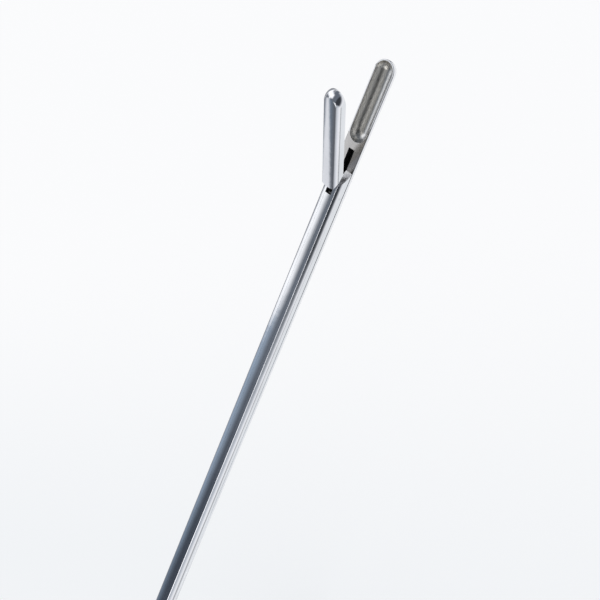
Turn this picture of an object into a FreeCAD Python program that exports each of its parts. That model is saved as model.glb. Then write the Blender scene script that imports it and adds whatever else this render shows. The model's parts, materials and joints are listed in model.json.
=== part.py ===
import FreeCAD, Part
import math
import os

# Rigid biopsy forceps, sliding-shaft pattern, drawn in its open position.
# Drawing frame: X forward to the jaw tip, Y left, Z up. x = 0 is the jaw pivot,
# z = 0 the plane where the lower shaft and the slider meet.
# export() moves everything so that the origin is the centre of the thumb ring.

# Shaft
shaft_radius = 2.0
top_half_angle = 40.0        # flat top of the slider, half angle seen from the shaft's centre
top_crown = 0.10             # rise of that flat between its two edges
seam_gap = 0.03              # between lower shaft and slider
working_length = 178.0       # jaw tip to handle body

# Jaws
fixed_jaw_reach = 23.4       # pivot to tip
moving_jaw_reach = 20.9
cup_wall = 0.24
cup_length = 14.0
jaw_open_angle = 28.0
pivot_drop = 0.70            # jaw pivot below the seam
jaw_pin_radius = 0.40
jaw_eye_wall = 0.30
tongue_thickness = 1.10
tongue_side_clearance = 0.05
tongue_floor_clearance = 0.12
tongue_web_reach = 7.6       # how far forward the tongue stands below the jaw
drive_pin_radius = 0.25
drive_pin_height = 0.70      # drive pin above the seam
drive_lug_wall = 0.15
slider_travel = 0.70
slot_top_rear = 0.41         # rear end of the slot in the flat top, jaw closed
nose_length = 2.8            # slope at the slider's front end
nose_reach = 5.05            # pivot to the lower end of that slope, jaw closed
nose_gap = 0.12              # slope to jaw, jaw closed
running_clearance = 0.05

# Guide studs of the slider
stud_positions = (-38.0, -96.0)
stud_neck_radius = 0.45
stud_head_radius = 0.80
stud_head_height = 0.35
stud_neck_length = 0.50      # seam to the underside of the head
stud_foot_depth = 1.1
stud_entry_reach = 2.4       # from a stud to the hole where its head goes in

# Handle body
ferrule_length = 9.0
ferrule_radius = 3.4
ferrule_front_radius = 2.7
body_length = 25.0
body_half_width = 4.0
body_top = 5.2
body_bottom = -8.6
body_edge_radius = 0.9
shaft_socket_length = 5.4
cheek_inner = 1.75           # half width of the slot that the lever swings in
channel_end_room = 0.40      # end block to channel end, at either limit
lever_setback = 12.0         # lever pivot behind the body's front face
lever_slot_reach = 4.6       # lever pivot to either end of its slot
ferrule_seat = 2.0           # how deep the ferrule's shoulder sits in the body
ferrule_step = 0.5           # shoulder below the ferrule's outside
ferrule_taper = 3.0          # front part of the ferrule, narrower than the rest
throat_reach = 5.4           # lever pivot to the throat at the body's lower edge
body_corner = 3.0            # upper rear corner
heel_reach = 2.5
cover_overlap = 3.0          # cover beyond the channel, front and rear
cover_lip = 0.6              # cover beyond the channel, each side
cover_thickness = 1.2
cover_screw_radius = 0.8
cover_screw_head_radius = 1.35
cover_screw_head_height = 0.6
cover_screw_length = 3.2
cover_gap = 0.05             # between the cover's edge and its seat

# End block of the slider
block_front_reach = 5.6      # lever pin to front face
block_rear_reach = 3.6
block_half_width = 2.5
block_top = 3.2
block_bottom = -0.75
block_clearance = 0.08
block_pocket_depth = 2.6     # how far the slider goes in
block_pocket_clearance = 0.02
block_slot_half_width = 1.5
block_slot_reach = 2.5       # lever pin to either end of the lever's slot
block_roof = 0.9
block_pin_radius = 0.5
block_pin_inset = 1.2        # from the block's front face

# Lever
lever_arm = 4.4              # lever pivot to lever pin
lever_pin_height = 0.6
lever_pin_radius = 0.7
lever_half_thickness = 1.4
lever_eye_radius = 3.0
lever_tip_radius = 1.6
lever_drop = 5.0             # flat part of the lever below the body
lever_taper = 0.2
bushing_radius = 2.1
pivot_screw_radius = 1.5
pivot_head_radius = 2.9
pivot_head_height = 1.3
washer_radius = 2.6
washer_thickness = 0.3

# Rings and shanks
ring_bore_radius = 11.0
ring_bar = 4.4
ring_width = 5.0
ring_land = 2.6
ring_arc = 140.0             # rounded part of the ring's section, each way from its outermost point
ring_arc_steps = 8
thumb_ring_x = -210.0
thumb_ring_z = -58.0
finger_ring_x = -164.0
finger_ring_z = -66.0
shank_half_width = 2.3       # at the ring
shank_half_depth = 2.8
shank_root_growth = 1.25     # how much thicker it is at the body
shank_stations = 7
shank_sides = 20             # straight edges round a shank's section
thumb_bend_x = 16.0          # bend of the thumb shank, from the ring's centre
thumb_bend_z = 30.0
finger_bend_x = 3.5          # bend of the finger shank, from the lever's pivot
finger_bend_z = 26.0         # and above the ring

# Sizes that follow
jaw_pivot_z = -pivot_drop
jaw_eye_radius = jaw_pin_radius + jaw_eye_wall
drive_arm = drive_pin_height + pivot_drop
drive_lug_radius = drive_pin_radius + running_clearance + drive_lug_wall
top_edge_z = shaft_radius * math.cos(math.radians(top_half_angle))
body_front = fixed_jaw_reach - working_length
body_rear = body_front - body_length
lever_pivot_x = body_front - lever_setback
lever_pivot_z = lever_pin_height - lever_arm
handle_angle = math.degrees(slider_travel / lever_arm)
slot_half_width = tongue_thickness / 2 + tongue_side_clearance
y_axis = FreeCAD.Vector(0, 1, 0)
x_axis = FreeCAD.Vector(1, 0, 0)
z_axis = FreeCAD.Vector(0, 0, 1)
big = 60.0


def vec(x, y, z):
    return FreeCAD.Vector(x, y, z)


def box(x0, x1, y0, y1, z0, z1):
    return Part.makeBox(x1 - x0, y1 - y0, z1 - z0, vec(x0, y0, z0))


def cross_pin(radius, half_length, x, z):
    return Part.makeCylinder(radius, 2 * half_length, vec(x, -half_length, z), y_axis)


def plate(outline, y0, y1):
    # closed outline of (x, z) points, made solid between two values of y
    points = [vec(x, y0, z) for x, z in outline]
    face = Part.Face(Part.makePolygon(points + points[:1]))
    return face.extrude(vec(0, y1 - y0, 0))


def slot_through(radius, start, end, y0, y1):
    # round-ended slot from one (x, z) centre to another
    dx, dz = end[0] - start[0], end[1] - start[1]
    length = math.hypot(dx, dz)
    nx, nz = -dz / length * radius, dx / length * radius
    sides = plate([(start[0] + nx, start[1] + nz), (end[0] + nx, end[1] + nz),
                   (end[0] - nx, end[1] - nz), (start[0] - nx, start[1] - nz)], y0, y1)
    ends = [Part.makeCylinder(radius, y1 - y0, vec(x, y0, z), y_axis) for x, z in (start, end)]
    return sides.fuse(ends)


def turned(shape, x, z, angle):
    # positive turns the front end down, as the closing jaw does
    copy = shape.copy()
    copy.rotate(vec(x, 0, z), y_axis, angle)
    return copy


def moved(shape, dx):
    copy = shape.copy()
    copy.translate(vec(dx, 0, 0))
    return copy


def upper_half(x0, x1, radius=shaft_radius, gap=seam_gap):
    # slider section: round sides, crowned flat top
    edge_y = radius * math.sin(math.radians(top_half_angle))
    edge_z = radius * math.cos(math.radians(top_half_angle))
    foot = math.sqrt(radius ** 2 - gap ** 2)
    shoulder_y = radius * math.cos(math.radians(25))
    shoulder_z = radius * math.sin(math.radians(25))
    left = Part.Arc(vec(x0, foot, gap), vec(x0, shoulder_y, shoulder_z), vec(x0, edge_y, edge_z))
    top = Part.Arc(vec(x0, edge_y, edge_z), vec(x0, 0, edge_z + top_crown), vec(x0, -edge_y, edge_z))
    right = Part.Arc(vec(x0, -edge_y, edge_z), vec(x0, -shoulder_y, shoulder_z), vec(x0, -foot, gap))
    floor = Part.LineSegment(vec(x0, -foot, gap), vec(x0, foot, gap))
    wire = Part.Wire([left.toShape(), top.toShape(), right.toShape(), floor.toShape()])
    return Part.Face(wire).extrude(vec(x1 - x0, 0, 0))


def lower_half(x0, x1):
    rod = Part.makeCylinder(shaft_radius, x1 - x0, vec(x0, 0, 0), x_axis)
    return rod.common(box(x0, x1, -shaft_radius, shaft_radius, -shaft_radius, 0))


def capsule(radius, x0, x1):
    # rod with ball ends, x0 and x1 are its outer ends
    rod = Part.makeCylinder(radius, x1 - x0 - 2 * radius, vec(x0 + radius, 0, 0), x_axis)
    balls = [Part.makeSphere(radius, vec(x, 0, 0)) for x in (x0 + radius, x1 - radius)]
    return rod.fuse(balls)


def lower_shaft():
    rear = body_front - shaft_socket_length
    bar = lower_half(rear, fixed_jaw_reach - shaft_radius)
    tip = Part.makeSphere(shaft_radius, vec(fixed_jaw_reach - shaft_radius, 0, 0))
    tip = tip.common(box(fixed_jaw_reach - shaft_radius, fixed_jaw_reach + 1, -3, 3, -3, 0))
    cup_tip = fixed_jaw_reach - cup_wall
    cup = capsule(shaft_radius - cup_wall, cup_tip - cup_length, cup_tip)
    slot_floor = jaw_pivot_z - jaw_eye_radius - tongue_floor_clearance
    slot = box(-jaw_eye_radius - tongue_floor_clearance, tongue_web_reach + 2 * tongue_floor_clearance,
               -slot_half_width, slot_half_width, slot_floor, 1)
    shaft = bar.fuse(tip).cut(cup).cut(slot)
    shaft = shaft.cut(cross_pin(jaw_pin_radius, shaft_radius, 0, jaw_pivot_z))
    for x in stud_positions:
        shaft = shaft.cut(Part.makeCylinder(stud_neck_radius, stud_foot_depth, vec(x, 0, -stud_foot_depth), z_axis))
    return shaft.removeSplitter()


def moving_jaw():
    # drawn closed, with its rim on the fixed cup's rim, then turned open
    body = upper_half(0, moving_jaw_reach)
    ball_x = moving_jaw_reach - shaft_radius
    tip = Part.makeSphere(shaft_radius, vec(ball_x, 0, 0))
    nose = tip.fuse(box(-1, ball_x, -3, 3, -1, 3))
    body = body.common(nose)
    cup_tip = moving_jaw_reach - cup_wall
    cup = capsule(shaft_radius - cup_wall, cup_tip - cup_length + 1.5, cup_tip)
    cup = cup.common(box(0, big, -3, 3, -3, top_edge_z - cup_wall))
    body = body.cut(cup)
    slope_shift = nose_gap * math.hypot(nose_length, top_edge_z) / top_edge_z
    slope_foot = nose_reach + slope_shift
    run = nose_length / top_edge_z
    rear_cut = plate([(slope_foot + run, -1), (slope_foot - 3 * run, 3), (-5, 3), (-5, -1)], -3, 3)
    body = body.cut(rear_cut)
    tongue = jaw_tongue(slope_foot)
    return body.fuse(tongue).removeSplitter()


def jaw_tongue(slope_foot):
    half = tongue_thickness / 2
    eye_bottom = jaw_pivot_z - jaw_eye_radius
    slot_low, slot_high, slot_x = drive_slot()
    lug_radius = drive_lug_radius
    relief_z = 0.15
    web = plate([(0, eye_bottom), (2.2, eye_bottom + 0.25), (tongue_web_reach, -0.05),
                 (tongue_web_reach - 0.4, 0.8), (slope_foot - 1.2, 0.9),
                 (slope_foot - 2.2, relief_z), (slot_x + lug_radius, relief_z),
                 (slot_x + lug_radius, slot_high), (slot_x - lug_radius, slot_high),
                 (slot_x - lug_radius, 0), (-jaw_eye_radius * 0.8, jaw_pivot_z + 0.2)], -half, half)
    eye = cross_pin(jaw_eye_radius, half, 0, jaw_pivot_z)
    lug = cross_pin(lug_radius, half, slot_x, slot_high)
    tongue = web.fuse([eye, lug])
    tongue = tongue.cut(cross_pin(jaw_pin_radius + running_clearance, 3, 0, jaw_pivot_z))
    drive = slot_through(drive_pin_radius + running_clearance, (slot_x, slot_low), (slot_x, slot_high), -3, 3)
    return tongue.cut(drive)


def drive_slot():
    # the drive pin's path seen from the closed jaw, at both ends and half way
    path = []
    for share in (0.0, 0.5, 1.0):
        angle = math.radians(jaw_open_angle * share)
        x = slider_travel * (0.5 - share)
        path.append((x * math.cos(angle) + drive_arm * math.sin(angle),
                     jaw_pivot_z - x * math.sin(angle) + drive_arm * math.cos(angle)))
    xs = [p[0] for p in path]
    zs = [p[1] for p in path]
    return min(zs), max(zs), (min(xs) + max(xs)) / 2


def slider():
    # drawn with the jaw closed, then moved back by its travel
    block_front = lever_pivot_x + block_front_reach + slider_travel / 2
    bar = upper_half(block_front - block_pocket_depth, nose_reach)
    run = nose_length / top_edge_z
    nose = plate([(nose_reach + run, -1), (nose_reach - 3 * run, 3), (nose_reach + 3, 3)], -3, 3)
    bar = bar.cut(nose)
    # the slot is open upwards at the nose, and behind that it has a roof over the tongue's lug
    low, high, lug_x = drive_slot()
    lug_top = math.hypot(lug_x, high - jaw_pivot_z) + jaw_pivot_z + drive_lug_radius
    slot_rear = lug_x - drive_lug_radius - 2 * running_clearance
    roof = lug_top + running_clearance
    bar = bar.cut(box(slot_rear, nose_reach + 1, -slot_half_width, slot_half_width, -1, roof))
    bar = bar.cut(box(slot_top_rear, nose_reach + 1, -slot_half_width, slot_half_width, 0, 3))
    bar = bar.cut(cross_pin(drive_pin_radius, 3, slider_travel / 2, drive_pin_height))
    for x in stud_positions:
        bar = bar.cut(stud_slot(x, x + slider_travel))
    bar = bar.cut(Part.makeCylinder(block_pin_radius, 5, vec(block_front - block_pin_inset, 0, -1), z_axis))
    return bar.removeSplitter()


def stud_slot(rear, front):
    # keyhole slot in the slider's underside: narrow for the neck, wide above it for the head,
    # and a round hole in front where the head goes in when the shaft is put together
    neck = stud_neck_radius + running_clearance
    head = stud_head_radius + running_clearance
    roof = stud_neck_length + stud_head_height + running_clearance
    entry = front + stud_entry_reach
    slot = Part.makeCylinder(head, roof + 1, vec(entry, 0, -1), z_axis)
    for radius, z0 in ((neck, -1), (head, stud_neck_length - running_clearance)):
        slot = slot.fuse(box(rear, entry, -radius, radius, z0, roof))
        slot = slot.fuse(Part.makeCylinder(radius, roof - z0, vec(rear, 0, z0), z_axis))
    return slot


def guide_studs():
    studs = []
    for x in stud_positions:
        neck = Part.makeCylinder(stud_neck_radius, stud_foot_depth + stud_neck_length,
                                 vec(x, 0, -stud_foot_depth), z_axis)
        head = Part.makeCylinder(stud_head_radius, stud_head_height, vec(x, 0, stud_neck_length), z_axis)
        studs.append(neck.fuse(head).removeSplitter())
    return Part.makeCompound(studs)


def trimmed_pin(radius, x, z, reach):
    # cross pin with ends ground flush with the round shaft
    rod = Part.makeCylinder(reach, 6, vec(x - 3, 0, 0), x_axis)
    return cross_pin(radius, 3, x, z).common(rod)


def shaft_ferrule():
    bore = shaft_radius + running_clearance
    front = body_front + ferrule_length
    neck = ferrule_radius - ferrule_step
    cone_end = front - ferrule_taper + (ferrule_radius - ferrule_front_radius)
    edge = ferrule_step * 0.8
    points = [(body_front - ferrule_seat, bore), (body_front - ferrule_seat, neck),
              (body_front, neck), (body_front, ferrule_radius),
              (front - ferrule_taper, ferrule_radius), (cone_end, ferrule_front_radius),
              (front - edge, ferrule_front_radius), (front, ferrule_front_radius - edge), (front, bore)]
    wire = Part.makePolygon([vec(x, 0, r) for x, r in points + points[:1]])
    return Part.Face(wire).revolve(vec(0, 0, 0), x_axis, 360)


def ring(x, z):
    # flat land inside, rounded outside
    middle = ring_bore_radius + ring_bar / 2
    land = ring_land / 2
    outline = [vec(ring_bore_radius, 0, -land)]
    for step in range(ring_arc_steps + 1):
        angle = math.radians(ring_arc * (2 * step / ring_arc_steps - 1))
        outline.append(vec(middle + ring_bar / 2 * math.cos(angle), 0, ring_width / 2 * math.sin(angle)))
    outline.append(vec(ring_bore_radius, 0, land))
    band = Part.Face(Part.makePolygon(outline + outline[:1])).revolve(vec(0, 0, 0), z_axis, 360)
    band.rotate(vec(0, 0, 0), x_axis, 90)
    band.translate(vec(x, 0, z))
    return band


def oval_section(x, z, tilt, half_width, half_depth):
    # section across a shank, deeper than wide, whose direction is tilted from upright
    points = []
    for side in range(shank_sides):
        angle = 2 * math.pi * side / shank_sides
        points.append(vec(half_depth * math.cos(angle), half_width * math.sin(angle), 0))
    wire = Part.makePolygon(points + points[:1])
    wire.rotate(vec(0, 0, 0), y_axis, tilt)
    wire.translate(vec(x, 0, z))
    return wire


def shank(start, bend, end):
    # tapering bar along a smooth curve from the body (start) to the ring (end)
    sections = []
    for step in range(shank_stations):
        t = step / (shank_stations - 1)
        x, z = [(1 - t) ** 2 * a + 2 * t * (1 - t) * b + t ** 2 * c for a, b, c in zip(start, bend, end)]
        dx, dz = [(1 - t) * (b - a) + t * (c - b) for a, b, c in zip(start, bend, end)]
        growth = 1 + (shank_root_growth - 1) * (1 - t)
        sections.append(oval_section(x, z, math.degrees(math.atan2(dx, dz)),
                                     shank_half_width * growth, shank_half_depth * growth))
    return Part.makeLoft(sections, True, True)


def ring_joint(ring_x, ring_z, from_x, from_z):
    # where a shank's centre line ends, inside the ring's bar
    reach = ring_bore_radius + ring_bar / 2
    length = math.hypot(from_x - ring_x, from_z - ring_z)
    return ring_x + (from_x - ring_x) / length * reach, ring_z + (from_z - ring_z) / length * reach


def rounded_block(x0, x1, half_width, z0, z1, radius):
    # block with its long edges along X rounded
    solid = box(x0, x1, -half_width, half_width, z0, z1)
    edges = [e for e in solid.Edges if abs(e.tangentAt(e.FirstParameter).x) > 0.99]
    return solid.makeFillet(radius, edges)


def handle_body():
    # side view with a curved throat under the shaft and a sloping back
    y0 = -body_half_width
    throat_z = -ferrule_radius - 0.6
    throat_x = lever_pivot_x + throat_reach
    heel_x = body_rear + heel_reach
    corner_mid = body_corner * (1 - math.sqrt(0.5))
    arcs = [Part.Arc(vec(body_front, y0, throat_z), vec(throat_x + 2.2, y0, throat_z - 1.6),
                     vec(throat_x, y0, body_bottom)),
            Part.Arc(vec(heel_x, y0, body_bottom), vec(body_rear + 0.6, y0, body_bottom + 3.4),
                     vec(body_rear, y0, 0)),
            Part.Arc(vec(body_rear, y0, body_top - body_corner),
                     vec(body_rear + corner_mid, y0, body_top - corner_mid),
                     vec(body_rear + body_corner, y0, body_top))]
    lines = [Part.makeLine(vec(throat_x, y0, body_bottom), vec(heel_x, y0, body_bottom)),
             Part.makeLine(vec(body_rear, y0, 0), vec(body_rear, y0, body_top - body_corner)),
             Part.makeLine(vec(body_rear + body_corner, y0, body_top), vec(body_front, y0, body_top)),
             Part.makeLine(vec(body_front, y0, body_top), vec(body_front, y0, throat_z))]
    wire = Part.Wire(Part.__sortEdges__([arc.toShape() for arc in arcs] + lines))
    solid = Part.Face(wire).extrude(vec(0, 2 * body_half_width, 0))
    rims = [e for e in solid.Edges if abs(abs(e.BoundBox.YMin) - body_half_width) < 1e-6
            and e.BoundBox.YLength < 1e-6]
    return solid.makeChamfer(body_edge_radius, rims)


def rear_handle():
    body = handle_body()
    bend = (thumb_ring_x + thumb_bend_x, thumb_ring_z + thumb_bend_z)
    arm = shank((body_rear + 6.5, body_bottom + 4.5), bend, ring_joint(thumb_ring_x, thumb_ring_z, *bend))
    keep_out = cross_pin(ring_bore_radius + 0.5, 10, thumb_ring_x, thumb_ring_z)
    arm = arm.cut(keep_out)
    handle = body.fuse(arm).fuse(ring(thumb_ring_x, thumb_ring_z))
    bore = Part.makeCylinder(shaft_radius + running_clearance, body_front - channel_front() + 1,
                             vec(channel_front() - 0.5, 0, 0), x_axis)
    seat = Part.makeCylinder(ferrule_radius - ferrule_step, ferrule_seat,
                             vec(body_front - ferrule_seat, 0, 0), x_axis)
    channel = box(channel_rear(), channel_front(), -channel_half(), channel_half(),
                  block_bottom - block_clearance, body_top + 1)
    lever_slot = box(lever_pivot_x - lever_slot_reach, lever_pivot_x + lever_slot_reach,
                     -cheek_inner, cheek_inner, 2 * body_bottom, 0)
    cover_seat = box(channel_rear() - cover_overlap, channel_front() + cover_overlap,
                     -channel_half() - cover_lip, channel_half() + cover_lip,
                     body_top - cover_thickness, body_top + 1)
    for hollow in (bore, seat, channel, lever_slot, cover_seat):
        handle = handle.cut(hollow)
    handle = handle.cut(cross_pin(pivot_screw_radius, 10, lever_pivot_x, lever_pivot_z))
    for x in cover_screw_places():
        handle = handle.cut(Part.makeCylinder(cover_screw_radius, cover_screw_length,
                                              vec(x, 0, body_top - cover_screw_length), z_axis))
    return handle.removeSplitter()


def channel_half():
    return block_half_width + block_clearance


def channel_front():
    return lever_pivot_x + block_front_reach + slider_travel / 2 + channel_end_room


def channel_rear():
    return lever_pivot_x - block_rear_reach - slider_travel / 2 - channel_end_room


def cover_screw_places():
    return (channel_rear() - cover_overlap / 2, channel_front() + cover_overlap / 2)


def channel_cover():
    cover = box(channel_rear() - cover_overlap + cover_gap, channel_front() + cover_overlap - cover_gap,
                -channel_half() - cover_lip + cover_gap, channel_half() + cover_lip - cover_gap,
                body_top - cover_thickness, body_top)
    for x in cover_screw_places():
        hole = Part.makeCylinder(cover_screw_radius, 2 * cover_thickness,
                                 vec(x, 0, body_top - 2 * cover_thickness), z_axis)
        cover = cover.cut(hole).cut(screw_sink(x))
    return cover


def screw_sink(x):
    return Part.makeCone(cover_screw_radius, cover_screw_head_radius, cover_screw_head_height,
                         vec(x, 0, body_top - cover_screw_head_height), z_axis)


def cover_screws():
    screws = []
    for x in cover_screw_places():
        stem = Part.makeCylinder(cover_screw_radius, cover_screw_length,
                                 vec(x, 0, body_top - cover_screw_length), z_axis)
        slot = box(x - 2, x + 2, -0.17, 0.17, body_top - cover_screw_head_height / 2, body_top + 1)
        screws.append(stem.fuse(screw_sink(x)).cut(slot).removeSplitter())
    return Part.makeCompound(screws)


def slider_end_block():
    # drawn half way along its travel, with the lever pin at lever_pivot_x
    x0 = lever_pivot_x - block_rear_reach
    x1 = lever_pivot_x + block_front_reach
    pocket = x1 - block_pocket_depth
    block = rounded_block(x0, x1, block_half_width, block_bottom, block_top, 0.5)
    block = block.cut(upper_half(pocket, x1 + 1, shaft_radius + block_pocket_clearance, 0))
    block = block.cut(box(pocket, x1 + 1, -3, 3, block_bottom - 1, 0))
    block = block.cut(box(lever_pivot_x - block_slot_reach, lever_pivot_x + block_slot_reach,
                          -block_slot_half_width, block_slot_half_width, block_bottom - 1, block_top - block_roof))
    groove = slot_through(lever_pin_radius + running_clearance, (lever_pivot_x, lever_pin_height - 0.15),
                          (lever_pivot_x, lever_pin_height + 0.15), -3, 3)
    block = block.cut(groove)
    block = block.cut(Part.makeCylinder(block_pin_radius, 2 * block_top, vec(x1 - block_pin_inset, 0, -1), z_axis))
    return block.removeSplitter()


def end_block_pin():
    foot = seam_gap + 0.05
    x = lever_pivot_x + block_front_reach - block_pin_inset
    return Part.makeCylinder(block_pin_radius, block_top - foot, vec(x, 0, foot), z_axis)


def front_handle():
    # drawn half way along its swing, with the lever pin straight above its pivot
    half = lever_half_thickness
    x, z = lever_pivot_x, lever_pivot_z
    eye = cross_pin(lever_eye_radius, half, x, z)
    tip = cross_pin(lever_tip_radius, half, x, lever_pin_height)
    waist = lever_eye_radius - 2 * lever_taper
    foot = lever_eye_radius - lever_taper
    foot_z = body_bottom - lever_drop
    neck = plate([(x - lever_tip_radius, lever_pin_height), (x + lever_tip_radius, lever_pin_height),
                  (x + waist, z), (x + lever_eye_radius, body_bottom), (x + foot, foot_z),
                  (x - foot, foot_z), (x - lever_eye_radius, body_bottom), (x - waist, z)], -half, half)
    ring_x, ring_z = finger_ring_half_way()
    bend = (x + finger_bend_x, ring_z + ring_bore_radius + finger_bend_z)
    arm = shank((x, body_bottom - lever_drop / 3), bend, ring_joint(ring_x, ring_z, *bend))
    arm = arm.cut(cross_pin(ring_bore_radius + 0.5, 10, ring_x, ring_z))
    handle = eye.fuse([tip, neck, arm, ring(ring_x, ring_z)])
    handle = handle.cut(cross_pin(bushing_radius, 5, x, z))
    handle = handle.cut(cross_pin(lever_pin_radius, 5, x, lever_pin_height))
    return handle.removeSplitter()


def finger_ring_half_way():
    angle = math.radians(handle_angle / 2)
    dx = finger_ring_x - lever_pivot_x
    dz = finger_ring_z - lever_pivot_z
    return (lever_pivot_x + dx * math.cos(angle) + dz * math.sin(angle),
            lever_pivot_z - dx * math.sin(angle) + dz * math.cos(angle))


def lever_pin():
    return cross_pin(lever_pin_radius, block_half_width - 0.15, lever_pivot_x, lever_pin_height)


def lever_bushing():
    ring_solid = cross_pin(bushing_radius, lever_half_thickness, lever_pivot_x, lever_pivot_z)
    return ring_solid.cut(cross_pin(pivot_screw_radius + running_clearance, 5, lever_pivot_x, lever_pivot_z))


def pivot_washers():
    washers = []
    for y in (lever_half_thickness + 0.02, -lever_half_thickness - 0.02 - washer_thickness):
        disc = Part.makeCylinder(washer_radius, washer_thickness, vec(lever_pivot_x, y, lever_pivot_z), y_axis)
        washers.append(disc.cut(cross_pin(pivot_screw_radius + running_clearance, 5, lever_pivot_x, lever_pivot_z)))
    return Part.makeCompound(washers)


def handle_pivot_screw():
    x, z = lever_pivot_x, lever_pivot_z
    stem = cross_pin(pivot_screw_radius, body_half_width, x, z)
    head = Part.makeCylinder(pivot_head_radius, pivot_head_height, vec(x, body_half_width, z), y_axis)
    rim = [e for e in head.Edges if abs(e.BoundBox.YMin - body_half_width - pivot_head_height) < 1e-6]
    head = head.makeChamfer(0.3, rim[:1])
    driver = box(x - 4, x + 4, body_half_width + pivot_head_height - 0.7, body_half_width + pivot_head_height + 1,
                 z - 0.35, z + 0.35)
    return stem.fuse(head).cut(driver).removeSplitter()


def export(name, shape):
    placed = shape.copy()
    placed.translate(vec(-thumb_ring_x, 0, -thumb_ring_z))
    placed.exportStep("parts/" + name + ".step")
    print(name, "solids", len(placed.Solids), "valid", placed.isValid(), "volume %.2f" % placed.Volume)


os.makedirs("parts", exist_ok=True)
jaw_pin = trimmed_pin(jaw_pin_radius, 0, jaw_pivot_z, shaft_radius - 0.02)
export("lower_shaft", lower_shaft())
export("jaw_pivot_pin", jaw_pin)
export("guide_studs", guide_studs())
export("shaft_ferrule", shaft_ferrule())
export("rear_handle", rear_handle())
export("channel_cover", channel_cover())
export("cover_screws", cover_screws())
export("pivot_washers", pivot_washers())
export("handle_pivot_screw", handle_pivot_screw())
export("moving_jaw", turned(moving_jaw(), 0, jaw_pivot_z, -jaw_open_angle))
export("slider", moved(slider(), -slider_travel))
export("drive_pin", moved(trimmed_pin(drive_pin_radius, slider_travel / 2, drive_pin_height, shaft_radius - 0.02),
                          -slider_travel))
export("slider_end_block", moved(slider_end_block(), -slider_travel / 2))
export("end_block_pin", moved(end_block_pin(), -slider_travel / 2))
for name, shape in (("front_handle", front_handle()), ("lever_pin", lever_pin()), ("lever_bushing", lever_bushing())):
    export(name, turned(shape, lever_pivot_x, lever_pivot_z, -handle_angle / 2))
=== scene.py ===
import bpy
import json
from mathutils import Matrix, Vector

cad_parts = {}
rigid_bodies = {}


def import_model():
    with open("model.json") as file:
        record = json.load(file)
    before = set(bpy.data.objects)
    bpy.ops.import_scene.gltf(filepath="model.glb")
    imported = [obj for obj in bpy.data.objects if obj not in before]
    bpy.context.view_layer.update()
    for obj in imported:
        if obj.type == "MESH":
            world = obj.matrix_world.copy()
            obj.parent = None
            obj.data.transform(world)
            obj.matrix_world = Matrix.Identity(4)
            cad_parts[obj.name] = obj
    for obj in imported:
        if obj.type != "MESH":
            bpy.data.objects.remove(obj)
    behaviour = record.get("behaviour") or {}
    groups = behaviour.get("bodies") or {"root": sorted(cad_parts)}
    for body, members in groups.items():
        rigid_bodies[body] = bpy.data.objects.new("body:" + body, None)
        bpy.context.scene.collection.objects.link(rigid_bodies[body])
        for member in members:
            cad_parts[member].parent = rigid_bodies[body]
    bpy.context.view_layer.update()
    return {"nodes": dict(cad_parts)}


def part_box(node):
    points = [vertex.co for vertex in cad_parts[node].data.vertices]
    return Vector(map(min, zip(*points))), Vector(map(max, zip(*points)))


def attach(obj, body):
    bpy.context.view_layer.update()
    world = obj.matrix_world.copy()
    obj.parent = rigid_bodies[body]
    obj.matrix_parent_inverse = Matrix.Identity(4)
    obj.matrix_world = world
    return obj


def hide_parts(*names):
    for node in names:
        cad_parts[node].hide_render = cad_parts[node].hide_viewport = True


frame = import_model()

import bpy
import json
import math
from mathutils import Matrix, Vector

# Rigid biopsy forceps. Pieces are drawn in millimetres in the instrument's own axes:
# X runs to the jaw tip, x = 0 is the jaw pivot, z = 0 the plane between the two shaft halves.
# placePiece() brings each one to metres and to its place in the frame.
millimetre = 0.001
pivotPlace = Vector((0.210, 0.0, 0.058))
near = 0.01        # what lies closer than this to a plane or a line counts as on it
skin = 0.1         # walls of a cup lie further than this inside the round of the shaft
deselect = bpy.ops.object.select_all


def takeOnly(obj):
    deselect(action='DESELECT')
    obj.select_set(True)
    bpy.context.view_layer.objects.active = obj


def applyPlace(obj):
    takeOnly(obj)
    bpy.ops.object.transform_apply(location=True, rotation=True, scale=True)


def applyModifier(obj, kind, **settings):
    takeOnly(obj)
    modifier = obj.modifiers.new(kind.title(), kind)
    for key, value in settings.items():
        setattr(modifier, key, value)
    bpy.ops.object.modifier_apply(modifier=modifier.name)


def cutAway(obj, *cutters):
    # a cutter's open ends lie outside the piece, so they are round numbers
    for cutter in cutters:
        applyModifier(obj, 'BOOLEAN', object=cutter, operation='DIFFERENCE', solver='EXACT')
        bpy.data.objects.remove(cutter)


def keepInside(obj, other):
    applyModifier(obj, 'BOOLEAN', object=other, operation='INTERSECT', solver='EXACT')
    bpy.data.objects.remove(other)


def joinSolid(obj, *others):
    for other in others:
        applyModifier(obj, 'BOOLEAN', object=other, operation='UNION', solver='EXACT')
        bpy.data.objects.remove(other)


def startEdit(obj, mode='VERT'):
    takeOnly(obj)
    bpy.ops.object.mode_set(mode='EDIT')
    bpy.ops.mesh.select_mode(type=mode)


def endEdit():
    bpy.ops.object.mode_set(mode='OBJECT')


def bisectAt(obj, point, normal, fill=True):
    # what lies in front of the plane goes
    startEdit(obj)
    bpy.ops.mesh.select_all(action='SELECT')
    bpy.ops.mesh.bisect(plane_co=point, plane_no=normal, clear_outer=True, use_fill=fill)
    endEdit()


def rod(name, radius, start, end, sides=96):
    # round bar between two points
    startPoint, endPoint = Vector(start), Vector(end)
    along = endPoint - startPoint
    deselect(action='DESELECT')
    bpy.ops.mesh.primitive_cylinder_add(vertices=sides, radius=radius, depth=along.length,
                                        location=(startPoint + endPoint) / 2,
                                        rotation=along.to_track_quat('Z', 'Y').to_euler())
    obj = bpy.context.object
    obj.name = name
    applyPlace(obj)
    return obj


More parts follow.
